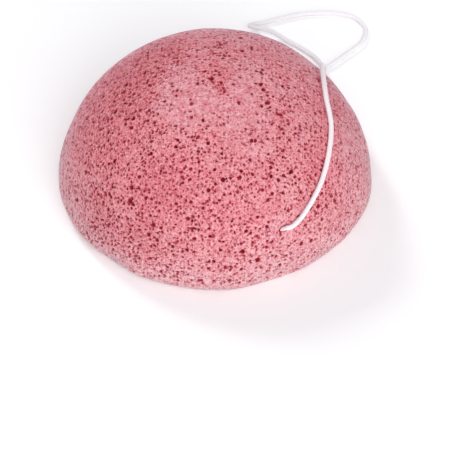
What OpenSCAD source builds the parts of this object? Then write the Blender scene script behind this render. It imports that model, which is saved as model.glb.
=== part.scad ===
// Half-ball face sponge of moulded konjac foam, with a cotton hanging string threaded through it.
// Origin: centre of the flat face, on the surface that it stands on. +Z up, +Y away from the string's front mouth.

/* [Foam half-ball] */
// Diameter of the ball that the foam is moulded to
ball_d = 80; // [64:1:110]
// Height from the flat face to the crown
foam_h = 38.5; // [28:0.5:44]
// Rounding of the rim, where the flat face meets the ball
rim_r = 4; // [1:0.5:7]

/* [Hanging string] */
// Diameter of the twisted cotton string
string_d = 1.25; // [0.8:0.05:2]
// Clearance between the string and the channel that the needle leaves in the foam, all round
channel_gap = 0.2; // [0.1:0.05:0.5]
// Distance of the string's straight inner run to the right of the centre
thread_x = 10; // [4:0.5:14]
// Height of the straight inner run above the flat face
thread_z = 14.2; // [8:0.1:18]
// Centreline radius of the turn that the string takes inside the foam, behind its front mouth
turn_r = 5; // [3:0.5:7]
// Run from that turn to the front mouth
lead_l = 2.3; // [1.5:0.1:4]
// Rise of the front mouth's run above the level, in degrees
lead_rise = 14; // [0:1:25]
// How far the string's end stands out of the front mouth
lead_out = 0.3; // [0.1:0.1:0.6]

/* [Knot] */
// Turns of the barrel knot that joins the string's two ends
knot_turns = 3; // [2:1:5]
// Outer diameter of the knot
knot_d = 3.8; // [3.4:0.1:5.5]
// Distance from the back mouth to the knot, along the string
knot_stand = 0.7; // [0.7:0.1:2]
// Length of each cut tail
tail_l = 5; // [3:0.5:9]
// Droop of the tails below the level, in degrees
tail_droop = 48; // [20:1:60]
// Angle of each tail to the side, in degrees
tail_splay = 17; // [10:1:30]

/* [Hidden] */
round_fn = 96;
string_fn = 32;

// Cuts run this far past the face that they open
overrun = 3;

// Ball, rim and flat face. The ball's centre lies below the flat face by cut.
ball_r = ball_d / 2;
cut = ball_r - foam_h;
rim_centre_r = sqrt(pow(ball_r - rim_r, 2) - pow(rim_r + cut, 2));
rim_meet_r = rim_centre_r * ball_r / (ball_r - rim_r);
rim_meet_z = (rim_r + cut) * ball_r / (ball_r - rim_r) - cut;

// Where the string's two mouths lie on the ball
mouth_reach = turn_r + lead_l;
mouth_x = thread_x + mouth_reach * cos(lead_rise);
mouth_z = thread_z + mouth_reach * sin(lead_rise);
front_y = sqrt(pow(ball_r, 2) - pow(mouth_x, 2) - pow(mouth_z + cut, 2));
back_y = sqrt(pow(ball_r, 2) - pow(thread_x, 2) - pow(thread_z + cut, 2));

// Barrel knot: its turns are pulled a little into each other
wrap_pitch_share = 0.92;
wrap_r = (knot_d - string_d) / 2;
wrap_pitch = wrap_pitch_share * string_d;
knot_l = string_d + (knot_turns - 1) * wrap_pitch;

// Route of the free loop: from the front mouth over the foam, down its back to the surface that it
// stands on, out to a fold at the loop's tip, round the loop, under itself and up to the knot
ROUTE = [
    [17.4, -31.6, 16.1], [18.3, -31.6, 16.3], [20.2, -30.3, 17.1], [22.8, -27.1, 18.9],
    [25.5, -22.4, 21.3], [27.9, -14.2, 24.8], [28.5, -7.4, 26.9], [27.4, 0.6, 28.9],
    [27.0, 7.8, 28.2], [26.9, 14.6, 25.6], [27.1, 19.2, 22.4], [27.6, 22.6, 18.6],
    [27.9, 25.4, 14.8], [28.2, 28.3, 10.2], [28.4, 31.8, 6.0], [28.4, 36.2, 3.3],
    [28.0, 41.0, 2.2], [26.5, 45.2, 1.1], [23.8, 48.4, 0.7], [18.6, 52.5, 1.0],
    [14.8, 54.5, 2.1], [11.7, 54.7, 3.0], [9.9, 55.4, 2.8], [9.1, 57.0, 1.9],
    [9.9, 58.6, 1.0], [11.7, 59.3, 0.7], [15.5, 60.6, 0.7], [21.0, 62.5, 0.7],
    [27.2, 63.5, 0.7], [33.2, 63.2, 0.7], [37.9, 61.2, 0.7], [40.2, 57.2, 0.7],
    [39.4, 52.2, 0.7], [34.9, 47.0, 0.7], [28.4, 41.2, 0.7], [22.8, 38.3, 0.7],
    [18.6, 38.3, 1.0], [15.0, 38.9, 2.9], [12.4, 39.0, 7.0], [11.3, 38.2, 12.6]
];
route_last = len(ROUTE) - 1;
rings_per_span = 2;
cord_sides = 8;

// Smooth line through the route's points
function unit(v) = v / norm(v);
function span(i) = norm(ROUTE[i + 1] - ROUTE[i]);
function leg(i) = (ROUTE[i + 1] - ROUTE[i]) / span(i);
function slope(i) =
    i == 0 ? leg(0)
    : i == route_last ? leg(route_last - 1)
    : (leg(i) * span(i - 1) + leg(i - 1) * span(i)) / (span(i) + span(i - 1));
function between(i, u) =
    (2 * u * u * u - 3 * u * u + 1) * ROUTE[i]
    + (u * u * u - 2 * u * u + u) * span(i) * slope(i)
    + (3 * u * u - 2 * u * u * u) * ROUTE[i + 1]
    + (u * u * u - u * u) * span(i) * slope(i + 1);
LINE = [
    for (i = [0 : route_last - 1]) for (j = [0 : rings_per_span - 1]) between(i, j / rings_per_span),
    ROUTE[route_last]
];
line_last = len(LINE) - 1;

// Rings square to the line, each turned as little as can be from the one before
function heading(k) = unit(LINE[min(k + 1, line_last)] - LINE[max(k - 1, 0)]);
function square_to(t, v) = unit(v - (v * t) * t);
function ring_sides(k, v) =
    k > line_last ? [] : let(s = square_to(heading(k), v)) concat([s], ring_sides(k + 1, s));
SIDES = ring_sides(0, [0, 0, 1]);
function ring(k, d) = [
    for (a = [0 : cord_sides - 1])
        let(turn = 360 * a / cord_sides)
        LINE[k] + d / 2 * (cos(turn) * SIDES[k] + sin(turn) * cross(heading(k), SIDES[k]))
];

// Tube swept along the route, closed at both ends
module swept_cord(d) {
    n = cord_sides;
    points = [for (k = [0 : line_last]) each ring(k, d)];
    walls = [
        for (k = [0 : line_last - 1]) for (a = [0 : n - 1])
            let(b = (a + 1) % n, low = k * n, high = low + n)
            each [[low + a, low + b, high + b], [low + a, high + b, high + a]]
    ];
    first_cap = [for (a = [1 : n - 2]) [0, a + 1, a]];
    last_cap = [for (a = [1 : n - 2]) [line_last * n, line_last * n + a, line_last * n + a + 1]];
    polyhedron(points = points, faces = [for (f = concat(walls, first_cap, last_cap)) [f[2], f[1], f[0]]]);
}

// Half of the foam's outline: the ball's arc, the rim's rounding and the flat face
module foam_outline() {
    intersection() {
        translate([0, -cut]) circle(r = ball_r, $fn = round_fn);
        translate([0, rim_meet_z]) square([ball_r, foam_h]);
    }
    translate([rim_centre_r, rim_r]) circle(r = rim_r, $fn = round_fn);
    polygon([[0, 0], [rim_centre_r, 0], [rim_centre_r, rim_r], [rim_meet_r, rim_meet_z], [0, rim_meet_z]]);
}

// The string's way through the foam: a straight run to the back mouth, a turn, and a run to the front mouth
module inner_way(d, front, back) {
    translate([thread_x, 0, thread_z]) rotate([0, -lead_rise, 0]) {
        translate([0, turn_r - front_y, 0]) rotate([-90, 0, 0])
            cylinder(d = d, h = front_y - turn_r + back_y + back, $fn = string_fn);
        translate([turn_r, turn_r - front_y, 0]) rotate([0, 0, 180])
            rotate_extrude(angle = 90, $fn = round_fn) translate([turn_r, 0]) circle(d = d, $fn = string_fn);
        translate([turn_r, -front_y, 0]) rotate([0, 90, 0])
            cylinder(d = d, h = lead_l + front, $fn = string_fn);
    }
}

// Moulded foam half-ball with the needle's channel through it
module foam_body() {
    color("lightcoral") difference() {
        rotate_extrude($fn = round_fn) foam_outline();
        inner_way(string_d + 2 * channel_gap, overrun, overrun);
    }
}

// The stretch of the string that the foam holds
module string_inside() {
    color("whitesmoke") inner_way(string_d, lead_out, knot_stand);
}

// The free stretch of the string, which the sponge hangs from
module string_loop() {
    color("white") swept_cord(string_d);
}

// One cut end of the string, leaving the knot's outer face
module tail(side) {
    translate([side * string_d / 2, 0, knot_l - string_d]) rotate([-tail_droop, side * tail_splay, 0])
        cylinder(d = string_d, h = string_d + tail_l, $fn = string_fn);
}

// Barrel knot drawn up against the back mouth: turns of string round the two ends
module knot() {
    color("ivory") translate([thread_x, back_y + knot_stand, thread_z]) rotate([-90, 0, 0]) {
        rotate_extrude($fn = round_fn) {
            for (i = [0 : knot_turns - 1])
                translate([wrap_r, string_d / 2 + i * wrap_pitch]) circle(d = string_d, $fn = string_fn);
            translate([0, string_d / 2]) square([wrap_r, knot_l - string_d]);
            square([string_d / 2, knot_l]);
        }
        for (side = [-1, 1]) tail(side);
    }
}

foam_body();
string_inside();
string_loop();
knot();
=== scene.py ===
import math

import bmesh
import bpy
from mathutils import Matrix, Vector


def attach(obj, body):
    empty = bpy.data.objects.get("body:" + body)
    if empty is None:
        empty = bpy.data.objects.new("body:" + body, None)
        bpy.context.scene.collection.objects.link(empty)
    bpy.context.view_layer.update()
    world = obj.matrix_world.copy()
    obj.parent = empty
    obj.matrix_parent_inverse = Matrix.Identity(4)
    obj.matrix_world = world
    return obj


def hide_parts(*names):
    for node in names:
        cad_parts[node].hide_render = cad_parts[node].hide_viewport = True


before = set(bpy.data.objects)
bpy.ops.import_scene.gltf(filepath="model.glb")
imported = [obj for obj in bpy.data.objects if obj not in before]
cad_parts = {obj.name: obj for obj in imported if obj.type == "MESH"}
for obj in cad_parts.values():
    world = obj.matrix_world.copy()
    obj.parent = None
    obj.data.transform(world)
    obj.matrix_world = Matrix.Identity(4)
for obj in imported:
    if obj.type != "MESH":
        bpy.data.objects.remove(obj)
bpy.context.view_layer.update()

# The frame is in metres. Sizes below are written in millimetres, times MM.
MM = 0.001


# Camera: a long lens in front of the sponge, looking down at it from 46.5 degrees above the table, so that
# the loop of string shows past the dome.
CAMERA_PLACE = (4.438 * MM, -445.84 * MM, 451 * MM)
CAMERA_RISE = math.radians(46.5)
LENS, SENSOR_WIDTH = 193.5, 36
NEAREST_SEEN, FURTHEST_SEEN = 20 * MM, 30000 * MM
view_camera = bpy.data.objects.new("Camera", bpy.data.cameras.new("Camera"))
bpy.context.scene.collection.objects.link(view_camera)
view_camera.location = CAMERA_PLACE
view_camera.rotation_euler = (math.pi / 2 - CAMERA_RISE, 0, 0)
view_camera.data.sensor_width = SENSOR_WIDTH
view_camera.data.lens = LENS
view_camera.data.clip_start = NEAREST_SEEN
view_camera.data.clip_end = FURTHEST_SEEN
bpy.context.scene.camera = view_camera


# Hanging string: one length of soft white cotton, three plies laid into a cord 1.25 mm thick. A needle pulled
# it through the foam. Its free stretch lies over the dome, runs out across the table behind it to a fold at
# the loop's tip, and comes back under itself to the knot.
STRING_D = 1.25 * MM
PLIES = 3
PLY_SIDES = 8                 # points on each ply's rounded back
PLY_SWELL = 0.04              # how far each ply stands out of a round cord, as a share
LAY = 3.6 * MM                # length in which a ply goes once round the string
STEPS_PER_METRE = 4200        # rings of points along the string

# The ball that the foam was cast as, its flat cut and rim, and the needle's way through it: a straight run, a
# turn, and a short lead that rises to the front mouth. All of them are as in the CAD.
BALL_R, FOAM_H, RIM_R = 40 * MM, 38.5 * MM, 4 * MM
CUT = BALL_R - FOAM_H         # depth of the ball's centre below the flat face
THREAD_X, THREAD_Z = 10 * MM, 14.2 * MM
TURN_R, TURN_STEPS = 5 * MM, 32
LEAD_L, LEAD_STEPS = 2.3 * MM, 12
LEAD_RISE = math.radians(14)
KNOT_STAND = 0.7 * MM         # how far the knot stands off the back mouth
lead = Vector((math.cos(LEAD_RISE), 0, math.sin(LEAD_RISE)))
mouth = Vector((THREAD_X, 0, THREAD_Z)) + (TURN_R + LEAD_L) * lead
mouth.y = -math.sqrt(BALL_R ** 2 - mouth.x ** 2 - (mouth.z + CUT) ** 2)
back_y = math.sqrt(BALL_R ** 2 - THREAD_X ** 2 - (THREAD_Z + CUT) ** 2)

# The free loop's route from the front mouth to the knot, in millimetres
ROUTE = [Vector(point) * MM for point in (
    (17.4, -31.6, 16.1), (18.3, -31.6, 16.3), (20.2, -30.3, 17.1), (22.8, -27.1, 18.9),
    (25.5, -22.4, 21.3), (27.9, -14.2, 24.8), (28.5, -7.4, 26.9), (27.4, 0.6, 28.9),
    (27.0, 7.8, 28.2), (26.9, 14.6, 25.6), (27.1, 19.2, 22.4), (27.6, 22.6, 18.6),
    (27.9, 25.4, 14.8), (28.2, 28.3, 10.2), (28.4, 31.8, 6.0), (28.4, 36.2, 3.3),
    (28.0, 41.0, 2.2), (26.5, 45.2, 1.1), (23.8, 48.4, 0.7), (18.6, 52.5, 1.0),
    (14.8, 54.5, 2.1), (11.7, 54.7, 3.0), (9.9, 55.4, 2.8), (9.1, 57.0, 1.9),
    (9.9, 58.6, 1.0), (11.7, 59.3, 0.7), (15.5, 60.6, 0.7), (21.0, 62.5, 0.7),
    (27.2, 63.5, 0.7), (33.2, 63.2, 0.7), (37.9, 61.2, 0.7), (40.2, 57.2, 0.7),
    (39.4, 52.2, 0.7), (34.9, 47.0, 0.7), (28.4, 41.2, 0.7), (22.8, 38.3, 0.7),
    (18.6, 38.3, 1.0), (15.0, 38.9, 2.9), (12.4, 39.0, 7.0), (11.3, 38.2, 12.6))]


def linear(code):
    """An sRGB hex colour as the linear colour that shaders take."""
    parts = [int(code[i:i + 2], 16) / 255 for i in (1, 3, 5)]
    return [c / 12.92 if c <= 0.04045 else ((c + 0.055) / 1.055) ** 2.4 for c in parts] + [1]


def put(tree, kind, given=None, **settings):
    """Adds a node with its settings, and gives its outputs. given holds its inputs, as values or as sockets
    to link, by name, or by number where the node has that name twice."""
    node = tree.nodes.new(kind)
    for name, value in settings.items():
        setattr(node, name, value)
    for key, value in (given or {}).items():
        if isinstance(value, bpy.types.NodeSocket):
            tree.links.new(value, node.inputs[key])
        else:
            node.inputs[key].default_value = value
    return node.outputs


def new_material(name):
    """A material, and its node tree with nothing in it."""
    made = bpy.data.materials.new(name)
    made.use_nodes = True
    made.node_tree.nodes.clear()
    return made, made.node_tree


def new_tree(name, sizes):
    """A geometry tree that takes a shape and named sizes and gives a shape, with what comes in."""
    tree = bpy.data.node_groups.new(name, "GeometryNodeTree")
    tree.interface.new_socket("Geometry", in_out="INPUT", socket_type="NodeSocketGeometry")
    for size, kind in sizes.items():
        tree.interface.new_socket(size, in_out="INPUT", socket_type="NodeSocket" + kind)
    tree.interface.new_socket("Geometry", in_out="OUTPUT", socket_type="NodeSocketGeometry")
    return tree, put(tree, "NodeGroupInput")


def shaped(name, source, tree, values):
    """Runs the tree on the source object's shape with these values, and keeps the result as a plain mesh."""
    modifier = source.modifiers.new("Shape", "NODES")
    modifier.node_group = tree
    for socket in tree.interface.items_tree:
        if socket.in_out == "INPUT" and socket.name in values:
            modifier[socket.identifier] = values[socket.name]
    graph = bpy.context.evaluated_depsgraph_get()
    mesh = bpy.data.meshes.new_from_object(source.evaluated_get(graph), depsgraph=graph)
    source.modifiers.remove(modifier)
    mesh.name = name
    made = bpy.data.objects.new(name, mesh)
    bpy.context.scene.collection.objects.link(made)
    return made


def line_object(name, points):
    """A poly line through the points, for a tree to sweep along."""
    curve = bpy.data.curves.new(name, "CURVE")
    curve.dimensions = "3D"
    spline = curve.splines.new("POLY")
    spline.points.add(len(points) - 1)
    for place, point in zip(spline.points, points):
        place.co = (*point, 1)
    made = bpy.data.objects.new(name, curve)
    bpy.context.scene.collection.objects.link(made)
    return made


def smooth_line(points):
    """Points along the smooth line through the given ones, its slopes weighted by the spans as in the CAD."""
    spans = [(b - a).length for a, b in zip(points, points[1:])]
    legs = [(b - a).normalized() for a, b in zip(points, points[1:])]
    slopes = [legs[0]]
    for i in range(1, len(legs)):
        slopes.append((legs[i] * spans[i - 1] + legs[i - 1] * spans[i]) / (spans[i] + spans[i - 1]))
    slopes.append(legs[-1])
    line = []
    for i, span in enumerate(spans):
        count = max(1, round(STEPS_PER_METRE * span))
        for j in range(count):
            u = j / count
            line.append((2 * u ** 3 - 3 * u ** 2 + 1) * points[i]
                        + (u ** 3 - 2 * u ** 2 + u) * span * slopes[i]
                        + (3 * u ** 2 - 2 * u ** 3) * points[i + 1]
                        + (u ** 3 - u ** 2) * span * slopes[i + 1])
    return line + [points[-1]]


def close_ends(piece):
    """Fills a tube's open ends, and shades its four-cornered side faces smooth."""
    shell = bmesh.new()
    shell.from_mesh(piece.data)
    bmesh.ops.holes_fill(shell, edges=[edge for edge in shell.edges if edge.is_boundary], sides=0)
    bmesh.ops.recalc_face_normals(shell, faces=shell.faces)
    shell.to_mesh(piece.data)
    shell.free()
    for face in piece.data.polygons:
        face.use_smooth = len(face.vertices) <= 4


# Soft-spun cotton: matt, with a fine fuzz that softens its edges. Its fibres run along each ply, and painted
# shade makes it a touch darker and lilac down in the grooves. It has taken some pink from the foam at the
# mouth, and the stretch on the dome is painted pink as a painted reflection of the foam.
COTTON_LIGHT, COTTON_GROOVE_SHADE, COTTON_STAIN_AND_REFLECTION, COTTON_FUZZ = "#FFFEFF", "#FBF8FC", "#F6CBD4", "#FFF7FD"
FIBRES_PER_METRE = 900        # lengths of the fibres' pattern, coarser than real fibres so that it shows
FIBRE_SHADE = 0.9             # how far the fibres' pattern swings between light and groove
FIBRE_RELIEF = 0.06 * MM      # how far the fibres' pattern stands up
COLOUR_A, COLOUR_B, MIXED = 6, 7, 2     # the Mix node's colour sockets, by number because their names repeat
cotton, tree = new_material("Soft-spun white cotton string")
ply_place = put(tree, "ShaderNodeAttribute", attribute_name="ply_place")["Vector"]
run = put(tree, "ShaderNodeAttribute", attribute_name="run")["Fac"]
groove = put(tree, "ShaderNodeAttribute", attribute_name="groove")["Fac"]
stain = put(tree, "ShaderNodeAttribute", attribute_name="stain")["Fac"]
along = put(tree, "ShaderNodeVectorMath", {0: (0, 0, FIBRES_PER_METRE), "Scale": run}, operation="SCALE")[0]
fibre_place = put(tree, "ShaderNodeVectorMath", {0: ply_place, 1: along}, operation="ADD")[0]
fibres = put(tree, "ShaderNodeTexNoise", {"Vector": fibre_place, "Scale": 1.0, "Detail": 3.0})["Fac"]
shade = put(tree, "ShaderNodeMath", {0: fibres, 1: -FIBRE_SHADE, 2: FIBRE_SHADE / 2},
            operation="MULTIPLY_ADD")[0]
# Painted shade: the grooves between the plies are mixed towards the darker, lilac groove colour
shade = put(tree, "ShaderNodeMath", {0: groove, 1: shade}, operation="ADD", use_clamp=True)[0]
cotton_colour = linear(COTTON_LIGHT)
for share, colour in ((shade, COTTON_GROOVE_SHADE), (stain, COTTON_STAIN_AND_REFLECTION)):
    cotton_colour = put(tree, "ShaderNodeMix", {"Factor": share, COLOUR_A: cotton_colour,
                                                COLOUR_B: linear(colour)}, data_type="RGBA")[MIXED]
fibre_bump = put(tree, "ShaderNodeBump", {"Strength": 0.35, "Distance": FIBRE_RELIEF, "Height": fibres})[0]
cotton_shader = put(tree, "ShaderNodeBsdfPrincipled", {
    "Base Color": cotton_colour, "Roughness": 0.9, "Specular IOR Level": 0.2, "Normal": fibre_bump,
    "Sheen Weight": 1.0, "Sheen Roughness": 0.4, "Sheen Tint": linear(COTTON_FUZZ)})[0]
put(tree, "ShaderNodeOutputMaterial", {"Surface": cotton_shader})

# The plies: the line turns once in each lay, a lobed section is swept along it, and the stretch from From to
# To is kept. Pink has soaked in at the mouth, and the stretch over the dome is painted a pink tinge as a
# painted reflection of the foam.
SOAK_OUT, SOAK_IN = 0.1 * MM, 0.7 * MM      # from clean string outside the mouth to full stain inside it
# Painted reflection of the pink foam on the stretch over the dome: where it is full and where it ends, and
# its share
REFLECT_FULL, REFLECT_END = 50 * MM, 75 * MM    # how far past the mouth the dome's tinge is full, and has ended
REFLECT_TINGE = 0.18                          # its share of a full stain
laid, got = new_tree("Laid string", {
    "Thickness": "Float", "Plies": "Float", "Ply swell": "Float", "Lay": "Float", "From": "Float",
    "To": "Float", "Mouth": "Float", "Finish": "Material"})
passed = put(laid, "GeometryNodeSplineParameter")["Length"]
turned = put(laid, "ShaderNodeMath", {0: passed, 1: got["Lay"]}, operation="DIVIDE")[0]
turned = put(laid, "ShaderNodeMath", {0: turned, 1: math.tau}, operation="MULTIPLY")[0]
line = put(laid, "GeometryNodeStoreNamedAttribute",
           {"Geometry": got["Geometry"], "Name": "run", "Value": passed}, domain="POINT")[0]
line = put(laid, "GeometryNodeSetCurveTilt", {"Curve": line, "Tilt": turned})[0]
ring = put(laid, "GeometryNodeCurvePrimitiveCircle", {"Resolution": PLIES * PLY_SIDES, "Radius": 1.0})[0]
ring_place = put(laid, "GeometryNodeInputPosition")[0]
ring_x, ring_y, _ = put(laid, "ShaderNodeSeparateXYZ", {0: ring_place})
turn = put(laid, "ShaderNodeMath", {0: ring_y, 1: ring_x}, operation="ARCTAN2")[0]
turn = put(laid, "ShaderNodeMath", {0: turn, 1: got["Plies"]}, operation="MULTIPLY")[0]
turn = put(laid, "ShaderNodeMath", {0: turn, 1: 0.5}, operation="MULTIPLY")[0]
lobe = put(laid, "ShaderNodeMath", {0: turn}, operation="COSINE")[0]
lobe = put(laid, "ShaderNodeMath", {0: lobe}, operation="ABSOLUTE")[0]
hollow = put(laid, "ShaderNodeMath", {0: 1.0, 1: lobe}, operation="SUBTRACT")[0]
draw_in = put(laid, "ShaderNodeMath", {0: hollow, 1: got["Ply swell"]}, operation="MULTIPLY")[0]
reach = put(laid, "ShaderNodeMath", {0: 1.0, 1: draw_in}, operation="SUBTRACT")[0]
reach = put(laid, "ShaderNodeMath", {0: reach, 1: got["Thickness"]}, operation="MULTIPLY")[0]
reach = put(laid, "ShaderNodeMath", {0: reach, 1: 0.5}, operation="MULTIPLY")[0]
section = put(laid, "ShaderNodeVectorMath", {0: ring_place, "Scale": reach}, operation="SCALE")[0]
# The depth of the grooves between the plies, kept for the painted shade in the cotton's colour
ring = put(laid, "GeometryNodeStoreNamedAttribute",
           {"Geometry": ring, "Name": "groove", "Value": hollow}, domain="POINT")[0]
ring = put(laid, "GeometryNodeStoreNamedAttribute",
           {"Geometry": ring, "Name": "ply_place", "Value": ring_place},
           data_type="FLOAT_VECTOR", domain="POINT")[0]
ring = put(laid, "GeometryNodeSetPosition", {"Geometry": ring, "Position": section})[0]
tube = put(laid, "GeometryNodeCurveToMesh", {"Curve": line, "Profile Curve": ring, "Fill Caps": False})[0]
here = put(laid, "GeometryNodeInputNamedAttribute", {"Name": "run"}, data_type="FLOAT")[0]
after = put(laid, "ShaderNodeMath", {0: here, 1: got["From"]}, operation="GREATER_THAN")[0]
before = put(laid, "ShaderNodeMath", {0: here, 1: got["To"]}, operation="LESS_THAN")[0]
kept = put(laid, "ShaderNodeMath", {0: after, 1: before}, operation="MULTIPLY")[0]
tube = put(laid, "GeometryNodeSeparateGeometry", {"Geometry": tube, "Selection": kept}, domain="FACE")[0]
past_mouth = put(laid, "ShaderNodeMath", {0: here, 1: got["Mouth"]}, operation="SUBTRACT")[0]
soak_and_reflection = put(laid, "ShaderNodeMapRange", {"Value": past_mouth, "From Min": SOAK_OUT, "From Max": -SOAK_IN})[0]
reflected_pink = put(laid, "ShaderNodeMapRange", {"Value": past_mouth, "From Min": REFLECT_END,
                                           "From Max": REFLECT_FULL, "To Max": REFLECT_TINGE})[0]
# The mouth's stain together with the painted reflection on the dome
soak_and_reflection = put(laid, "ShaderNodeMath", {0: soak_and_reflection, 1: reflected_pink}, operation="MAXIMUM")[0]
tube = put(laid, "GeometryNodeStoreNamedAttribute",
           {"Geometry": tube, "Name": "stain", "Value": soak_and_reflection}, domain="POINT")[0]
tube = put(laid, "GeometryNodeRealizeInstances", {"Geometry": tube})[0]
tube = put(laid, "GeometryNodeSetMaterial", {"Geometry": tube, "Material": got["Finish"]})[0]
put(laid, "NodeGroupOutput", {0: tube})

# The whole length: from the knot straight through the foam, round the turn and out at the front mouth, then
# over the dome and round the loop
BEFORE_START, PAST_END = -1.0, 1.0          # lengths that lie before and after any string here
turn_centre = Vector((THREAD_X, mouth.y + TURN_R, THREAD_Z)) + TURN_R * lead
thread_start, thread_end = [Vector((THREAD_X, y, THREAD_Z)) for y in (back_y + KNOT_STAND, mouth.y + TURN_R)]
count = round((thread_start - thread_end).length * STEPS_PER_METRE)
inner_line = [thread_start.lerp(thread_end, i / count) for i in range(count)]
for i in range(TURN_STEPS):
    bend = math.radians(90 * i / TURN_STEPS)
    inner_line.append(turn_centre - TURN_R * (lead * math.cos(bend) + Vector((0, 1, 0)) * math.sin(bend)))
inner_line += [mouth.lerp(mouth - LEAD_L * lead, 1 - i / LEAD_STEPS) for i in range(LEAD_STEPS)]
free_line = smooth_line(ROUTE)
whole_line = line_object("String line", inner_line + free_line)
inner_run = sum([(b - a).length for a, b in zip(inner_line, inner_line[1:] + free_line[:1])])
string_values = {"Thickness": STRING_D, "Plies": PLIES, "Ply swell": PLY_SWELL, "Lay": LAY,
                 "Mouth": inner_run, "Finish": cotton}
string_loop = shaped("String_loop", whole_line, laid, {**string_values, "From": inner_run, "To": PAST_END})
string_inner = shaped("String_in_foam", whole_line, laid,
                      {**string_values, "From": BEFORE_START, "To": inner_run})
for piece, node in ((string_loop, "string_loop"), (string_inner, "string_inside")):
    close_ends(piece)
    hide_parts(node)
    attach(piece, "root")


# Barrel knot: the string's own end, wound three times round the loop's end and drawn up against the back
# mouth. The loop's end is tucked through the turns. Both tails droop from the knot's outer face, and their
# cut ends have frayed into loose fibres.
KNOT_D, KNOT_TURNS, STEPS_IN_TURN = 3.8 * MM, 3, 16
WRAP_R = (KNOT_D - STRING_D) / 2
WRAP_PITCH = 0.92 * STRING_D
WRAP_BEDDED = 0.82            # the share of the pitch that the turns keep where they bed into each other
WIND_FROM = -2.2              # where round the knot the winding starts, in radians
WIND_BEFORE, WIND_AFTER = 2.5, 5            # steps before the first full turn, and past the last
TAIL_L, TAIL_DROOP, TAIL_SPLAY = 5 * MM, math.radians(48), math.radians(17)
TAIL_CURL = 0.15 * MM         # how far a tail's middle bows up and inwards
TAIL_SHOWN = 0.97             # the share of a tail that is still laid string; loose fibres make the rest
knot_start = Vector((THREAD_X, back_y + KNOT_STAND + STRING_D / 2, THREAD_Z))


def tail_line(side, tucked):
    """Points from inside the barrel out to a tail's cut end."""
    face = knot_start + Vector((side * STRING_D / 2, (KNOT_TURNS - 1) * WRAP_PITCH, 0))
    away = Vector((side * math.sin(TAIL_SPLAY), math.cos(TAIL_SPLAY) * math.cos(TAIL_DROOP),
                   -math.cos(TAIL_SPLAY) * math.sin(TAIL_DROOP)))
    curl = Vector((side * TAIL_CURL, TAIL_CURL / 5, -TAIL_CURL))
    return tucked + [face, face + away * TAIL_L / 2 - curl, face + away * (STRING_D + TAIL_L) * TAIL_SHOWN]


wound = []
for i in range(KNOT_TURNS * STEPS_IN_TURN + WIND_AFTER):
    around = math.tau * i / STEPS_IN_TURN + WIND_FROM
    passed_turns = (i - WIND_BEFORE) / STEPS_IN_TURN
    wound.append(knot_start + Vector((math.cos(around) * WRAP_R, passed_turns * WRAP_PITCH * WRAP_BEDDED,
                                      math.sin(around) * WRAP_R)))
wound_line = line_object("Wound end line", smooth_line(tail_line(-1, wound)))
loop_end = ROUTE[-1]
tucked = [loop_end, loop_end + Vector((-0.25, -0.15, 1.0)) * MM,
          knot_start + Vector((0.55, 1.3, -0.1)) * MM]
tucked_line = line_object("Tucked end line", smooth_line(tail_line(1, tucked)))
knot_parts = [shaped("Knot strand", line, laid, {**string_values, "From": BEFORE_START, "To": PAST_END,
                                                 "Mouth": BEFORE_START})
              for line in (wound_line, tucked_line)]
for part in knot_parts:
    close_ends(part)

# Loose fibres at each cut end: straight ones stand on the cut, then each leans out and curls towards its tip
FIBRES, FIBRE_L, FIBRE_D = 44, 1.3 * MM, 0.1 * MM
FIBRE_POINTS, FIBRE_SIDES = 7, 5
FIBRE_SPREAD, FIBRE_CURL = 0.5 * MM, 1.6    # how far a tip leans out, and the power that bends it late
SHORTEST_FIBRE = 0.5          # as a share of the longest
CUT_FILLED = 0.36             # how far out from the cut's middle fibres stand, as a share of its width
ROOT_DEPTH = 0.1 * MM         # how far the fibres' feet are sunk in the cut
FRAY_SEED = 3
FLOAT_MIN, FLOAT_MAX, FLOAT_OUT = 2, 3, 1   # the Random Value node's plain sockets, as their names repeat
frayed, got = new_tree("Frayed cut end", {
    "Fibres": "Int", "Fibre length": "Float", "Fibre thickness": "Float", "Cut width": "Float",
    "Spread": "Float", "Place": "Vector", "Direction": "Vector", "Seed": "Int", "Finish": "Material"})
stands = put(frayed, "GeometryNodePoints", {"Count": got["Fibres"]})[0]
fibre = put(frayed, "GeometryNodeCurvePrimitiveLine", {"End": (0, 0, 1)})[0]
fibre = put(frayed, "GeometryNodeResampleCurve", {"Curve": fibre, "Count": FIBRE_POINTS})[0]
fibres_up = put(frayed, "GeometryNodeInstanceOnPoints", {"Points": stands, "Instance": fibre})[0]
fibres_up = put(frayed, "GeometryNodeRealizeInstances", {"Geometry": fibres_up})[0]
one = put(frayed, "GeometryNodeInputIndex")[0]
one = put(frayed, "ShaderNodeMath", {0: one, 1: FIBRE_POINTS}, operation="DIVIDE")[0]
one = put(frayed, "ShaderNodeMath", {0: one}, operation="FLOOR")[0]
up_share = put(frayed, "GeometryNodeSplineParameter")["Factor"]
side = put(frayed, "FunctionNodeRandomValue",
           {"Min": (-1, -1, 0), "Max": (1, 1, 0), "ID": one, "Seed": got["Seed"]},
           data_type="FLOAT_VECTOR")["Value"]
stand = put(frayed, "ShaderNodeVectorMath", {0: side, "Scale": got["Cut width"]}, operation="SCALE")[0]
stand = put(frayed, "ShaderNodeVectorMath", {0: stand, "Scale": CUT_FILLED}, operation="SCALE")[0]
curl = put(frayed, "ShaderNodeMath", {0: up_share, 1: FIBRE_CURL}, operation="POWER")[0]
curl = put(frayed, "ShaderNodeMath", {0: curl, 1: got["Spread"]}, operation="MULTIPLY")[0]
lean = put(frayed, "ShaderNodeVectorMath", {0: side, "Scale": curl}, operation="SCALE")[0]
share = put(frayed, "FunctionNodeRandomValue",
            {FLOAT_MIN: SHORTEST_FIBRE, FLOAT_MAX: 1.0, "ID": one, "Seed": got["Seed"]})[FLOAT_OUT]
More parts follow.
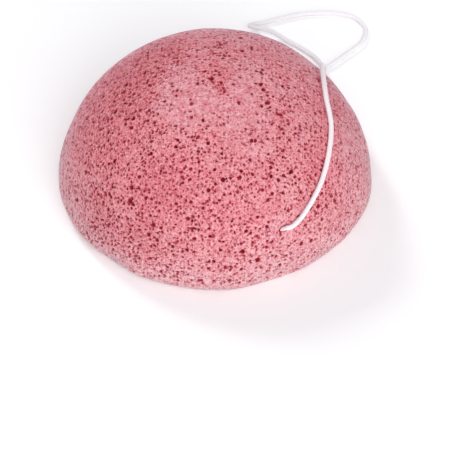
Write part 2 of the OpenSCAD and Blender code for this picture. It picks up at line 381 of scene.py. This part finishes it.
rise = put(frayed, "ShaderNodeMath", {0: up_share, 1: share}, operation="MULTIPLY")[0]
rise = put(frayed, "ShaderNodeMath", {0: rise, 1: got["Fibre length"]}, operation="MULTIPLY")[0]
rise = put(frayed, "ShaderNodeCombineXYZ", {"Z": rise})[0]
at = put(frayed, "ShaderNodeVectorMath", {0: stand, 1: lean}, operation="ADD")[0]
at = put(frayed, "ShaderNodeVectorMath", {0: at, 1: rise}, operation="ADD")[0]
fibres_up = put(frayed, "GeometryNodeSetPosition", {"Geometry": fibres_up, "Position": at})[0]
fibre_ring = put(frayed, "GeometryNodeCurvePrimitiveCircle", {"Resolution": FIBRE_SIDES, "Radius": 0.5})[0]
tuft = put(frayed, "GeometryNodeCurveToMesh", {"Curve": fibres_up, "Profile Curve": fibre_ring,
                                               "Scale": got["Fibre thickness"], "Fill Caps": True})[0]
facing = put(frayed, "FunctionNodeAlignRotationToVector", {"Vector": got["Direction"]}, axis="Z")[0]
tuft = put(frayed, "GeometryNodeTransform",
           {"Geometry": tuft, "Translation": got["Place"], "Rotation": facing})[0]
tuft = put(frayed, "GeometryNodeRealizeInstances", {"Geometry": tuft})[0]
tuft = put(frayed, "GeometryNodeSetMaterial", {"Geometry": tuft, "Material": got["Finish"]})[0]
put(frayed, "NodeGroupOutput", {0: tuft})
for seed, points in enumerate((tail_line(-1, []), tail_line(1, [])), start=FRAY_SEED):
    direction = (points[-1] - points[-2]).normalized()
    knot_parts.append(shaped("Frayed end", wound_line, frayed, {
        "Fibres": FIBRES, "Fibre length": FIBRE_L, "Fibre thickness": FIBRE_D, "Cut width": STRING_D,
        "Spread": FIBRE_SPREAD, "Place": points[-1] - ROOT_DEPTH * direction, "Direction": direction,
        "Seed": seed, "Finish": cotton}))
with bpy.context.temp_override(active_object=knot_parts[0], object=knot_parts[0],
                               selected_objects=knot_parts, selected_editable_objects=knot_parts):
    bpy.ops.object.join()
knot = knot_parts[0]
knot.name = knot.data.name = "Barrel_knot"
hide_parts("knot")
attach(knot, "root")


# Sponge: one half-ball of konjac foam, cast in a ball mould and left flat on its open side. The foam is full
# of burst bubbles, from pinholes to pits 1.5 mm across, deeper red inside and darkened there by painted
# shade, and the needle's channel runs through it.
RIM_CENTRE_R = math.sqrt((BALL_R - RIM_R) ** 2 - (RIM_R + CUT) ** 2)
rim_meets = math.asin((RIM_R + CUT) / (BALL_R - RIM_R))
DOME_STEPS, RIM_STEPS = 200, 40
CHANNEL_D = STRING_D + 0.1 * MM     # the foam closes on the string again
CHANNEL_SIDES = 20
CHANNEL_STRIDE = 3                  # the channel needs only every third point of the string's line
BEYOND = 3 * MM                     # how far the cut runs past both mouths
FACETS = 288
UNEVENNESS = 1.0                    # in millimetres, as are the foam tree's own sizes below

# Places on the foam, in millimetres. Larger pits that catch the eye have a place and a radius. Soft hollows
# pressed into the rim have a place, a reach and a depth, which is below 0 for a swelling. Stretches have a
# place, a reach, and how crowded the open bubbles are there: calm below 1, crowded and redder above it.
LARGE_PITS = ((12, -4.5, 36.3, 0.6), (12.9, -5, 36, 0.5), (13, -8, 35.5, 0.65), (13.6, -9.4, 35, 0.5),
              (-18.7, -3.6, 33.7, 0.5), (-28, -8, 26, 0.5), (-26, -10, 27.3, 0.55),
              (-26.5, -22.5, 18.5, 0.55), (-25.4, -23, 19, 0.5), (-20.3, -26.7, 20.3, 0.65),
              (-15, -32, 17.3, 0.6), (10.7, -36.8, 9.9, 0.8), (25.4, -25, 16.8, 0.7),
              (29.4, -21.5, 15, 0.6), (18.4, -22.6, 25.9, 0.55), (-7.2, -23, 30.4, 0.5),
              (16, -32.3, 15.7, 0.5))
SOFT_HOLLOWS = ((-27, -32, 1.5, 9, 1.1), (16, -36.5, 3, 13, 1.8), (28, -29, 3, 9, 0.6),
                (38, -10, 6, 13, -0.5))
STRETCHES = ((-6, -2, 37.7, 8, 0.5), (-6, -9, 37, 10, 0.3), (0, -10, 37.3, 11, 0.2),
             (7, -9, 37.1, 10, 0.25), (1, -14, 36, 9, 0.3), (8, 1, 37.5, 7, 0.5), (16, -2, 34.7, 8, 0.7),
             (1.5, -4.5, 38.1, 4.5, 1.3), (0, -1, 38.5, 5, 1.2), (-24, -11, 29, 11, 1.1),
             (-21, 0, 32.5, 11, 1.5), (-29, 1, 25, 12, 1.2), (21, -10, 31, 9, 0.85), (24, -20, 23, 9, 1),
             (18, -24, 25, 6, 0.7), (0, -21, 32, 10, 0.85), (10, -19, 32, 7, 0.55), (14, -32, 17, 11, 0.7),
             (-14, 12, 33, 11, 1.7), (-23, 9, 30, 9, 1.6), (1, 14, 35.5, 11, 0.9), (15, 11, 33, 10, 0.9),
             (33, -7, 18, 11, 0.6), (-13, -27, 25, 9, 1.2), (-31, -7, 21, 10, 1.1), (-28, -26, 10, 10, 1.5),
             (-18, -33, 11, 9, 1.5))

outline = [Vector((BALL_R * math.sin(a), 0, BALL_R * math.cos(a) - CUT))
           for a in [(math.pi / 2 - rim_meets) * i / DOME_STEPS for i in range(DOME_STEPS)]]
outline += [Vector((RIM_CENTRE_R + RIM_R * math.cos(a), 0, RIM_R + RIM_R * math.sin(a)))
            for a in [rim_meets - (rim_meets + math.pi / 2) * i / RIM_STEPS for i in range(RIM_STEPS + 1)]]
outline.append(Vector((0, 0, 0)))
outline_line = line_object("Foam outline", outline)
channel_line = line_object("Channel line", [inner_line[0] + Vector((0, BEYOND, 0))]
                           + inner_line[::CHANNEL_STRIDE] + [mouth, mouth + BEYOND * lead])
pit_marks = bpy.data.objects.new("Pit marks", bpy.data.meshes.new("Pit marks"))
bpy.context.scene.collection.objects.link(pit_marks)
pit_marks.data.from_pydata([Vector(pit[:3]) * MM for pit in LARGE_PITS], [], [])
pit_radii = pit_marks.data.attributes.new("radius", "FLOAT", "POINT")
pit_radii.data.foreach_set("value", [pit[3] for pit in LARGE_PITS])

foamed, got = new_tree("Foam skin with burst bubbles", {
    "Facets": "Int", "Channel": "Object", "Large pits": "Object", "Channel width": "Float",
    "Unevenness": "Float", "Finish": "Material"})

# An even grid: a cube's, blown up to a ball, then each point moves to the same share of the outline's length
cube = put(foamed, "GeometryNodeMeshCube", {"Size": (2, 2, 2), "Vertices X": got["Facets"],
                                            "Vertices Y": got["Facets"], "Vertices Z": got["Facets"]})[0]
place = put(foamed, "GeometryNodeInputPosition")[0]
place = put(foamed, "ShaderNodeVectorMath", {0: place, "Scale": math.pi / 4}, operation="SCALE")[0]
place = put(foamed, "ShaderNodeVectorMath", {0: place}, operation="TANGENT")[0]
place = put(foamed, "ShaderNodeVectorMath", {0: place}, operation="NORMALIZE")[0]
level = put(foamed, "ShaderNodeVectorMath", {0: place, 1: (1, 1, 0)}, operation="MULTIPLY")[0]
level = put(foamed, "ShaderNodeVectorMath", {0: level}, operation="NORMALIZE")[0]
height = put(foamed, "ShaderNodeSeparateXYZ", {0: place})["Z"]
fall = put(foamed, "ShaderNodeMath", {0: height}, operation="ARCCOSINE")[0]
fall = put(foamed, "ShaderNodeMath", {0: fall, 1: math.pi}, operation="DIVIDE")[0]
on_outline = put(foamed, "GeometryNodeSampleCurve", {"Curves": got["Geometry"], "Factor": fall},
                 mode="FACTOR", use_all_curves=True)["Position"]
out_r, _, out_z = put(foamed, "ShaderNodeSeparateXYZ", {0: on_outline})
level = put(foamed, "ShaderNodeVectorMath", {0: level, "Scale": out_r}, operation="SCALE")[0]
up = put(foamed, "ShaderNodeCombineXYZ", {"Z": out_z})[0]
place = put(foamed, "ShaderNodeVectorMath", {0: level, 1: up}, operation="ADD")[0]
skin = put(foamed, "GeometryNodeSetPosition", {"Geometry": cube, "Position": place})[0]

# The channel, cut right through
channel = put(foamed, "GeometryNodeObjectInfo", {"Object": got["Channel"]})["Geometry"]
bore_ring = put(foamed, "GeometryNodeCurvePrimitiveCircle",
                {"Resolution": CHANNEL_SIDES, "Radius": 0.5})[0]
bore = put(foamed, "GeometryNodeCurveToMesh", {"Curve": channel, "Profile Curve": bore_ring,
                                               "Scale": got["Channel width"], "Fill Caps": True})[0]
skin = put(foamed, "GeometryNodeMeshBoolean", {"Mesh 1": skin, "Mesh 2": bore}, operation="DIFFERENCE",
           solver="MANIFOLD")[0]
wire = put(foamed, "GeometryNodeCurveToMesh", {"Curve": channel})[0]
from_channel = put(foamed, "GeometryNodeProximity", {"Target": wire}, target_element="EDGES")["Distance"]

# Slow unevenness of the cast skin, none on the flat side, and the soft hollows
SWELL_SPAN, SWELL_LEVEL = 17, 0.7   # from one swelling to the next, and the noise level that lies on the ball
FLAT_END, DOME_START = 0.1, 1.6     # heights between which the unevenness comes in
place = put(foamed, "GeometryNodeInputPosition")[0]
place = put(foamed, "ShaderNodeVectorMath", {0: place, "Scale": 1 / MM}, operation="SCALE")[0]
above = put(foamed, "ShaderNodeSeparateXYZ", {0: place})["Z"]
outward = put(foamed, "GeometryNodeInputNormal")[0]
swell = put(foamed, "ShaderNodeTexNoise", {"Vector": place, "Scale": 1 / SWELL_SPAN, "Detail": 1.5})["Fac"]
swell = put(foamed, "ShaderNodeMath", {0: swell, 1: SWELL_LEVEL}, operation="SUBTRACT")[0]
swell = put(foamed, "ShaderNodeMath", {0: swell, 1: got["Unevenness"]}, operation="MULTIPLY")[0]
for x, y, z, spread, sunk in SOFT_HOLLOWS:
    away = put(foamed, "ShaderNodeVectorMath", {0: place, 1: (x, y, z)}, operation="DISTANCE")["Value"]
    dip = put(foamed, "ShaderNodeMapRange",
              {"Value": away, "From Min": 0, "From Max": spread, "To Min": sunk, "To Max": 0},
              interpolation_type="SMOOTHERSTEP")[0]
    swell = put(foamed, "ShaderNodeMath", {0: swell, 1: dip}, operation="SUBTRACT")[0]
on_dome = put(foamed, "ShaderNodeMapRange",
              {"Value": above, "From Min": FLAT_END, "From Max": DOME_START})[0]
swell = put(foamed, "ShaderNodeMath", {0: swell, 1: on_dome}, operation="MULTIPLY")[0]


def wandered(start, waves, detail, reach):
    """A place moved about by noise of so many waves in a millimetre, so that edges wander as in real foam."""
    drift = put(foamed, "ShaderNodeTexNoise", {"Vector": place, "Scale": waves, "Detail": detail})["Color"]
    drift = put(foamed, "ShaderNodeVectorMath", {0: drift, 1: (0.5, 0.5, 0.5)}, operation="SUBTRACT")[0]
    drift = put(foamed, "ShaderNodeVectorMath", {0: drift, "Scale": reach}, operation="SCALE")[0]
    return put(foamed, "ShaderNodeVectorMath", {0: start, 1: drift}, operation="ADD")[0]


# How crowded the bubbles are: slow changes over the whole foam, then each stretch, then a calmer rim
CROWD_SPAN = 9                      # from one crowded place to the next
CROWD_LOW, CROWD_HIGH, CROWD_LEAST = 0.36, 0.6, 0.78    # noise levels, and the crowding at the lower one
STRETCH_WAVES, STRETCH_WANDER = 0.3, 11                 # how fast and how far a stretch's edge wanders
STRETCH_CORE = 0.3                  # the share of a stretch's reach over which it has its full effect
CALM_RIM, FULL_RIM, RIM_CROWD = 2, 15, 0.6              # heights, and the share of bubbles at the lower one
crowd = put(foamed, "ShaderNodeTexNoise", {"Vector": place, "Scale": 1 / CROWD_SPAN, "Detail": 2.0})["Fac"]
crowd = put(foamed, "ShaderNodeMapRange", {"Value": crowd, "From Min": CROWD_LOW, "From Max": CROWD_HIGH,
                                           "To Min": CROWD_LEAST, "To Max": 1.0})[0]
strayed = wandered(place, STRETCH_WAVES, 3.0, STRETCH_WANDER)
for x, y, z, spread, crowding in STRETCHES:
    away = put(foamed, "ShaderNodeVectorMath", {0: strayed, 1: (x, y, z)}, operation="DISTANCE")["Value"]
    near = put(foamed, "ShaderNodeMapRange", {"Value": away, "From Min": spread,
                                              "From Max": STRETCH_CORE * spread})[0]
    crowd = put(foamed, "ShaderNodeMix", {"Factor": near, "A": crowd, "B": crowding})[0]
rim_calm = put(foamed, "ShaderNodeMapRange", {"Value": above, "From Min": CALM_RIM, "From Max": FULL_RIM,
                                              "To Min": RIM_CROWD})[0]
crowd = put(foamed, "ShaderNodeMath", {0: crowd, 1: rim_calm}, operation="MULTIPLY")[0]

# Burst bubbles: balls strewn through the foam, cut open where they meet its skin. Each layer has a spacing, a
# smallest and a biggest radius in millimetres, and the share of its places that hold a bubble.
BUBBLE_LAYERS = ((2.4, 0.35, 0.65, 0.32), (1.3, 0.28, 0.5, 0.88), (0.9, 0.21, 0.35, 0.88))
LAYER_SHIFT = (7.3, 2.9, 5.1)       # moves a layer's places off the others', in spacings
BUBBLE_STRAY = 0.8                  # how far bubbles lie off an even grid, as a share
BUBBLE_WAVES, BUBBLE_WANDER = 0.3, 1.2          # slow pulls that stretch bubbles out of round
RAGGED_WAVES, RAGGED_WANDER = 1.2, 1.0          # the ragged edges of the larger pits
LIP_OUTER, LIP_INNER = 0.25, 0.05   # how far past a pit's edge its flushed lip ends and is full
BARE_LIP, FULL_FOAM = 0.69 * MM, 0.85 * MM      # no pits this near the channel's middle, and all beyond this
DEEPEST_PIT = 1.2


def open_bubble(centre_offset, radius, there):
    """A bubble cut by the skin: the depth of its far wall in millimetres, and how near its lip is, 0 to 1."""
    rise = put(foamed, "ShaderNodeVectorMath", {0: centre_offset, 1: outward},
               operation="DOT_PRODUCT")["Value"]
    far = put(foamed, "ShaderNodeVectorMath", {0: centre_offset}, operation="LENGTH")["Value"]
    past = put(foamed, "ShaderNodeMath", {0: far, 1: radius}, operation="SUBTRACT")[0]
    inside = put(foamed, "ShaderNodeMath", {0: past, 1: 0.0}, operation="LESS_THAN")[0]
    inside = put(foamed, "ShaderNodeMath", {0: inside, 1: there}, operation="MULTIPLY")[0]
    lip = put(foamed, "ShaderNodeMapRange",
              {"Value": past, "From Min": LIP_OUTER, "From Max": LIP_INNER})[0]
    lip = put(foamed, "ShaderNodeMath", {0: lip, 1: there}, operation="MULTIPLY")[0]
    radius = put(foamed, "ShaderNodeMath", {0: radius, 1: radius}, operation="MULTIPLY")[0]
    far = put(foamed, "ShaderNodeMath", {0: far, 1: far}, operation="MULTIPLY")[0]
    reach = put(foamed, "ShaderNodeMath", {0: rise, 1: rise, 2: radius}, operation="MULTIPLY_ADD")[0]
    reach = put(foamed, "ShaderNodeMath", {0: reach, 1: far}, operation="SUBTRACT")[0]
    reach = put(foamed, "ShaderNodeMath", {0: reach, 1: 0.0}, operation="MAXIMUM")[0]
    reach = put(foamed, "ShaderNodeMath", {0: reach}, operation="SQRT")[0]
    depth = put(foamed, "ShaderNodeMath", {0: rise, 1: reach}, operation="ADD")[0]
    return put(foamed, "ShaderNodeMath", {0: depth, 1: inside}, operation="MULTIPLY")[0], lip


marks = put(foamed, "GeometryNodeObjectInfo", {"Object": got["Large pits"]})["Geometry"]
mark = put(foamed, "GeometryNodeProximity", {"Target": marks}, target_element="POINTS")["Position"]
mark = put(foamed, "ShaderNodeVectorMath", {0: mark, "Scale": 1 / MM}, operation="SCALE")[0]
mark = put(foamed, "ShaderNodeVectorMath", {0: place, 1: mark}, operation="SUBTRACT")[0]
mark = wandered(mark, RAGGED_WAVES, 1.0, RAGGED_WANDER)
nearest = put(foamed, "GeometryNodeSampleNearest", {"Geometry": marks}, domain="POINT")[0]
mark_size = put(foamed, "GeometryNodeInputNamedAttribute", {"Name": "radius"}, data_type="FLOAT")[0]
mark_size = put(foamed, "GeometryNodeSampleIndex", {"Geometry": marks, "Value": mark_size, "Index": nearest},
                data_type="FLOAT", domain="POINT")[0]
pit, lips = open_bubble(mark, mark_size, 1.0)
warped = wandered(place, BUBBLE_WAVES, 2.0, BUBBLE_WANDER)
for spacing, smallest, biggest, share in BUBBLE_LAYERS:
    layer_shift = tuple([spacing * part for part in LAYER_SHIFT])
    moved = put(foamed, "ShaderNodeVectorMath", {0: warped, 1: layer_shift}, operation="ADD")[0]
    bubble = put(foamed, "ShaderNodeTexVoronoi", {"Vector": moved, "Scale": 1 / spacing,
                                                  "Randomness": BUBBLE_STRAY})
    luck, size, _ = put(foamed, "ShaderNodeSeparateXYZ", {0: bubble["Color"]})
    off = put(foamed, "ShaderNodeVectorMath", {0: moved, 1: bubble["Position"]}, operation="SUBTRACT")[0]
    size = put(foamed, "ShaderNodeMapRange", {"Value": size, "To Min": smallest, "To Max": biggest})[0]
    odds = put(foamed, "ShaderNodeMath", {0: crowd, 1: share}, operation="MULTIPLY")[0]
    there = put(foamed, "ShaderNodeMath", {0: luck, 1: odds}, operation="LESS_THAN")[0]
    depth, lip = open_bubble(off, size, there)
    pit = put(foamed, "ShaderNodeMath", {0: pit, 1: depth}, operation="MAXIMUM")[0]
    lips = put(foamed, "ShaderNodeMath", {0: lips, 1: lip}, operation="MAXIMUM")[0]
by_channel = put(foamed, "ShaderNodeMapRange", {"Value": from_channel, "From Min": BARE_LIP,
                                                "From Max": FULL_FOAM})[0]
pit = put(foamed, "ShaderNodeMath", {0: pit, 1: by_channel}, operation="MULTIPLY")[0]
pit = put(foamed, "ShaderNodeMath", {0: pit, 1: DEEPEST_PIT}, operation="MINIMUM")[0]
hole = put(foamed, "ShaderNodeMath", {0: 1.0, 1: by_channel}, operation="SUBTRACT")[0]
shown = put(foamed, "ShaderNodeMath", {0: pit, 1: hole}, operation="MAXIMUM")[0]
for name, value in (("pore_depth", shown), ("crowding", crowd), ("pore_lip", lips)):
    skin = put(foamed, "GeometryNodeStoreNamedAttribute", {"Geometry": skin, "Name": name, "Value": value},
               domain="POINT")[0]
shift = put(foamed, "ShaderNodeMath", {0: swell, 1: by_channel}, operation="MULTIPLY")[0]
shift = put(foamed, "ShaderNodeMath", {0: shift, 1: pit}, operation="SUBTRACT")[0]
shift = put(foamed, "ShaderNodeMath", {0: shift, 1: MM}, operation="MULTIPLY")[0]
shift = put(foamed, "ShaderNodeVectorMath", {0: outward, "Scale": shift}, operation="SCALE")[0]
skin = put(foamed, "GeometryNodeSetPosition", {"Geometry": skin, "Offset": shift})[0]
skin = put(foamed, "GeometryNodeSetShadeSmooth", {"Geometry": skin, "Shade Smooth": True})[0]
skin = put(foamed, "GeometryNodeRealizeInstances", {"Geometry": skin})[0]
skin = put(foamed, "GeometryNodeSetMaterial", {"Geometry": skin, "Material": got["Finish"]})[0]
put(foamed, "NodeGroupOutput", {0: skin})

# Cast konjac foam, matt and damp to the touch: salmon pink, coral where it is dense, and deep red down in the
# bubbles, darkened further there by painted shade. Its brightest pale specks are partly painted highlights.
# Its rim and foot are painted paler and greyer as painted bounce light from the table, and a fine fuzz gives
# its edges a soft, cool sheen.
FOAM_FILM_HIGHLIGHT, FOAM_PALE, FOAM_PINK, FOAM_CORAL = "#FCC5CB", "#E7A7AF", "#E78791", "#CE5C68"
FOAM_RED, FOAM_DEEP_SHADE, FOAM_RIM_BOUNCE, FOAM_FUZZ = "#A62E3F", "#8C0E1F", "#DFC8CB", "#E0F0FF"
foam, tree = new_material("Cast konjac foam with burst bubbles")
spot = put(tree, "ShaderNodeTexCoord")["Object"]
spot = put(tree, "ShaderNodeVectorMath", {0: spot, "Scale": 1 / MM}, operation="SCALE")[0]
height = put(tree, "ShaderNodeSeparateXYZ", {0: spot})["Z"]
crowding = put(tree, "ShaderNodeAttribute", attribute_name="crowding")["Fac"]
lips = put(tree, "ShaderNodeAttribute", attribute_name="pore_lip")["Fac"]
depth = put(tree, "ShaderNodeAttribute", attribute_name="pore_depth")["Fac"]

# Calm stretches and some slow patches are pale; crowded stretches are flushed
PATCH_SPAN = 9                                      # millimetres from one pale patch to the next
PALE_FROM, PALE_FULL = -0.5, -0.1                   # levels of the patches' noise, less the crowding
FLUSH_FROM, FLUSH_FULL, FLUSH = 1.0, 1.5, 0.75      # two levels of crowding, and the share of coral
patch = put(tree, "ShaderNodeTexNoise", {"Vector": spot, "Scale": 1 / PATCH_SPAN, "Detail": 3.0})["Fac"]
patch = put(tree, "ShaderNodeMath", {0: patch, 1: crowding}, operation="SUBTRACT")[0]
patch = put(tree, "ShaderNodeMapRange", {"Value": patch, "From Min": PALE_FROM, "From Max": PALE_FULL})[0]
flushed = put(tree, "ShaderNodeMapRange", {"Value": crowding, "From Min": FLUSH_FROM, "From Max": FLUSH_FULL,
                                           "To Max": FLUSH})[0]

# Painted bounce light: the rim and the foot are painted paler and greyer, as light bounced up from the table
# makes them. Heights in millimetres where it starts and is full, and its share
FOOT_BOUNCE = ((22, 6, 0.45), (9, 1, 0.6))
bounce_paling = 0.0
for bounce_from, bounce_full, share in FOOT_BOUNCE:
    band = put(tree, "ShaderNodeMapRange", {"Value": height, "From Min": bounce_from, "From Max": bounce_full,
                                            "To Max": share})[0]
    bounce_paling = put(tree, "ShaderNodeMath", {0: band, 1: bounce_paling}, operation="ADD")[0]

# Where few bubbles have burst, those still covered show through the skin as coral spots
OPEN_LOW, OPEN_HIGH, OPEN_LEAST = 0.2, 0.9, 0.4     # two levels of crowding, and the open share at the lower
COVERED_WAVES = 0.8                                 # in a millimetre
COVERED_FROM, COVERED_FULL, COVERED = 0.46, 0.62, 1.4   # noise levels of a spot's edge and heart, and a share
open_share = put(tree, "ShaderNodeMapRange", {"Value": crowding, "From Min": OPEN_LOW, "From Max": OPEN_HIGH,
                                              "To Min": OPEN_LEAST})[0]
closed = put(tree, "ShaderNodeMath", {0: 1.0, 1: open_share}, operation="SUBTRACT")[0]
covered = put(tree, "ShaderNodeTexNoise", {"Vector": spot, "Scale": COVERED_WAVES, "Detail": 2.0,
                                           "Roughness": 0.5})["Fac"]
covered = put(tree, "ShaderNodeMapRange", {"Value": covered, "From Min": COVERED_FROM,
                                           "From Max": COVERED_FULL, "To Max": COVERED})[0]
covered = put(tree, "ShaderNodeMath", {0: covered, 1: closed}, operation="MULTIPLY")[0]

# The grain: dense coral knots, pale films whose brightest specks are painted highlights on top of their own
# paler tone, and the thin pale walls between cells
GRAIN_WAVES = 1.7                                   # in a millimetre
DENSE_FROM, DENSE_FULL, DENSE = 0.55, 0.32, 0.9     # noise levels where knots start and are full, and a share
FILM_FROM, FILM_FULL, FILM = 0.5, 0.72, 0.9         # the same for the films
CELL = 0.75                                         # width of a cell in millimetres
WALL_FROM, WALL_FULL, WALL = 0.14, 0.02, 0.35       # distances from a wall's middle in cells, and its share
LIP_FLUSH = 0.25                                    # the share of coral on a pit's lip
grain = put(tree, "ShaderNodeTexNoise", {"Vector": spot, "Scale": GRAIN_WAVES, "Detail": 3.0,
                                         "Roughness": 0.65})["Fac"]
dense = put(tree, "ShaderNodeMapRange", {"Value": grain, "From Min": DENSE_FROM, "From Max": DENSE_FULL,
                                         "To Max": DENSE})[0]
films_and_highlights = put(tree, "ShaderNodeMapRange", {"Value": grain, "From Min": FILM_FROM, "From Max": FILM_FULL,
                                         "To Max": FILM})[0]
wall = put(tree, "ShaderNodeTexVoronoi", {"Vector": spot, "Scale": 1 / CELL},
           feature="DISTANCE_TO_EDGE")["Distance"]
wall = put(tree, "ShaderNodeMapRange", {"Value": wall, "From Min": WALL_FROM, "From Max": WALL_FULL,
                                        "To Max": WALL})[0]
films_and_highlights = put(tree, "ShaderNodeMath", {0: films_and_highlights, 1: wall}, operation="MAXIMUM")[0]
lips = put(tree, "ShaderNodeMath", {0: lips, 1: LIP_FLUSH}, operation="MULTIPLY")[0]

# Pinholes too small for the mesh, painted as dark red spots, partly the foam's own deeper red and partly
# painted shade: spacing in millimetres, and how deep they read
PINHOLES = ((0.85, 0.5), (0.5, 0.4))
PIN_STRAY, PIN_R = 0.9, 0.45                        # the widest pinhole's radius, in spacings
PIN_EDGE_OUT, PIN_EDGE_IN = -0.06, 0.12             # where its soft edge starts and is full, in spacings
pinholes = 0.0
for spacing, deepest in PINHOLES:
    pinhole = put(tree, "ShaderNodeTexVoronoi", {"Vector": spot, "Scale": 1 / spacing,
                                                 "Randomness": PIN_STRAY})
    pin_size = put(tree, "ShaderNodeSeparateXYZ", {0: pinhole["Color"]})[0]
    pin_size = put(tree, "ShaderNodeMath", {0: pin_size, 1: PIN_R}, operation="MULTIPLY")[0]
    inside = put(tree, "ShaderNodeMath", {0: pin_size, 1: pinhole["Distance"]}, operation="SUBTRACT")[0]
    inside = put(tree, "ShaderNodeMapRange", {"Value": inside, "From Min": PIN_EDGE_OUT,
                                              "From Max": PIN_EDGE_IN, "To Max": deepest})[0]
    pinholes = put(tree, "ShaderNodeMath", {0: inside, 1: pinholes}, operation="MAXIMUM")[0]
pinholes = put(tree, "ShaderNodeMath", {0: pinholes, 1: open_share}, operation="MULTIPLY")[0]

# Depth in millimetres, then how deep the foam reads there: first red, then the deepest red. The red is partly
# the foam's own colour inside its bubbles and partly painted shade, and the deepest red is mostly painted
# shade.
SHALLOW, DEEP = 0.03, 0.6
RED_FULL = 0.5
DEEP_FROM, DEEP_FULL = 0.45, 0.9
sunk = put(tree, "ShaderNodeMapRange", {"Value": depth, "From Min": SHALLOW, "From Max": DEEP})[0]
sunk = put(tree, "ShaderNodeMath", {0: sunk, 1: pinholes}, operation="MAXIMUM")[0]
reddened = put(tree, "ShaderNodeMapRange", {"Value": sunk, "From Max": RED_FULL})[0]
deep_shade = put(tree, "ShaderNodeMapRange", {"Value": sunk, "From Min": DEEP_FROM, "From Max": DEEP_FULL})[0]
# Among these mixes, the rim's paling is painted bounce light, the films' brightest specks are partly painted
# highlights, and the pits' reds are partly painted shade
foam_colour = linear(FOAM_PINK)
for share, colour in ((patch, FOAM_PALE), (flushed, FOAM_CORAL), (bounce_paling, FOAM_RIM_BOUNCE), (covered, FOAM_CORAL),
                      (dense, FOAM_CORAL), (films_and_highlights, FOAM_FILM_HIGHLIGHT), (lips, FOAM_CORAL), (reddened, FOAM_RED),
                      (deep_shade, FOAM_DEEP_SHADE)):
    foam_colour = put(tree, "ShaderNodeMix", {"Factor": share, COLOUR_A: foam_colour,
                                              COLOUR_B: linear(colour)}, data_type="RGBA")[MIXED]
FOAM_RELIEF, FOAM_BLEED = 0.15 * MM, 0.5 * MM       # the grain's height, and how far light spreads inside
relief = put(tree, "ShaderNodeMath", {0: grain, 1: pinholes}, operation="SUBTRACT")[0]
relief = put(tree, "ShaderNodeBump", {"Strength": 0.5, "Distance": FOAM_RELIEF, "Height": relief})[0]
foam_shader = put(tree, "ShaderNodeBsdfPrincipled", {
    "Base Color": foam_colour, "Roughness": 0.7, "Specular IOR Level": 0.25, "Normal": relief,
    "Sheen Weight": 0.6, "Sheen Tint": linear(FOAM_FUZZ), "Sheen Roughness": 0.25,
    "Subsurface Weight": 0.4, "Subsurface Radius": (1.0, 0.3, 0.25), "Subsurface Scale": FOAM_BLEED})[0]
put(tree, "ShaderNodeOutputMaterial", {"Surface": foam_shader})

sponge = shaped("Konjac_foam", outline_line, foamed, {
    "Facets": FACETS, "Channel": channel_line, "Large pits": pit_marks, "Channel width": CHANNEL_D,
    "Unevenness": UNEVENNESS, "Finish": foam})
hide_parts("foam_body")
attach(sponge, "root")
for helper in (whole_line, wound_line, tucked_line, outline_line, channel_line, pit_marks):
    bpy.data.objects.remove(helper)


# Surface and light: a plain matt white table, a small lamp high at the back left, whose soft shadow falls to
# the front right, a wide lamp in front, and pale walls all round.
TABLE_TOP = -0.02 * MM              # just under the sponge, so that the two faces don't share a plane
TABLE_REACH = 2                     # in metres, from the middle to each side
TABLE_WHITE, ROOM_WHITE = "#FAFAFB", "#FAFAFF"
TABLE_LIFT = 0.16                   # brings the table's white up to the photo's, for the camera alone
ROOM_SEEN, ROOM_LIGHT = 1.0, 0.34   # strength of the walls as the eye and the gloss see them, and as a light
table = bpy.data.objects.new("Table", bpy.data.meshes.new("Table"))
bpy.context.scene.collection.objects.link(table)
corners = [(x * TABLE_REACH, y * TABLE_REACH, TABLE_TOP) for x, y in ((-1, -1), (1, -1), (1, 1), (-1, 1))]
table.data.from_pydata(corners, [], [(0, 1, 2, 3)])
table_white, tree = new_material("White matt table")
diffuse = put(tree, "ShaderNodeBsdfDiffuse", {"Color": linear(TABLE_WHITE)})[0]
lift = put(tree, "ShaderNodeEmission", {"Strength": TABLE_LIFT})[0]
seen = put(tree, "ShaderNodeLightPath")
glow = put(tree, "ShaderNodeAddShader", {0: diffuse, 1: lift})[0]
top = put(tree, "ShaderNodeMixShader", {0: seen["Is Camera Ray"], 1: diffuse, 2: glow})[0]
put(tree, "ShaderNodeOutputMaterial", {"Surface": top})
table.data.materials.append(table_white)

room = bpy.data.worlds.new("Pale room")
bpy.context.scene.world = room
room.use_nodes = True
tree = room.node_tree
tree.nodes.clear()
seen = put(tree, "ShaderNodeLightPath")
bright = put(tree, "ShaderNodeMath", {0: seen["Is Camera Ray"], 1: seen["Is Glossy Ray"]},
             operation="MAXIMUM")[0]
bright = put(tree, "ShaderNodeMath", {0: bright, 1: seen["Is Transmission Ray"]}, operation="MAXIMUM")[0]
bright = put(tree, "ShaderNodeMapRange", {"Value": bright, "To Min": ROOM_LIGHT, "To Max": ROOM_SEEN})[0]
sky = put(tree, "ShaderNodeBackground", {"Color": linear(ROOM_WHITE), "Strength": bright})[0]
put(tree, "ShaderNodeOutputWorld", {"Surface": sky})

# Each lamp's name, its place and width in metres, and its power in watts. Both are turned to the sponge.
LAMPS = (("Back lamp", (-0.7, 0.97, 1.0), 0.35, 8), ("Front lamp", (0.5, -1.6, 1.15), 1.9, 36))
AIM = Vector((0, 0, 10 * MM))
for name, place, width, power in LAMPS:
    lamp = bpy.data.lights.new(name, "AREA")
    lamp.shape, lamp.size, lamp.energy = "SQUARE", width, power
    lamp_object = bpy.data.objects.new(name, lamp)
    bpy.context.scene.collection.objects.link(lamp_object)
    lamp_object.location = place
    lamp_object.rotation_euler = (AIM - Vector(place)).to_track_quat("-Z", "Y").to_euler()
bpy.context.scene.view_settings.view_transform = "Standard"
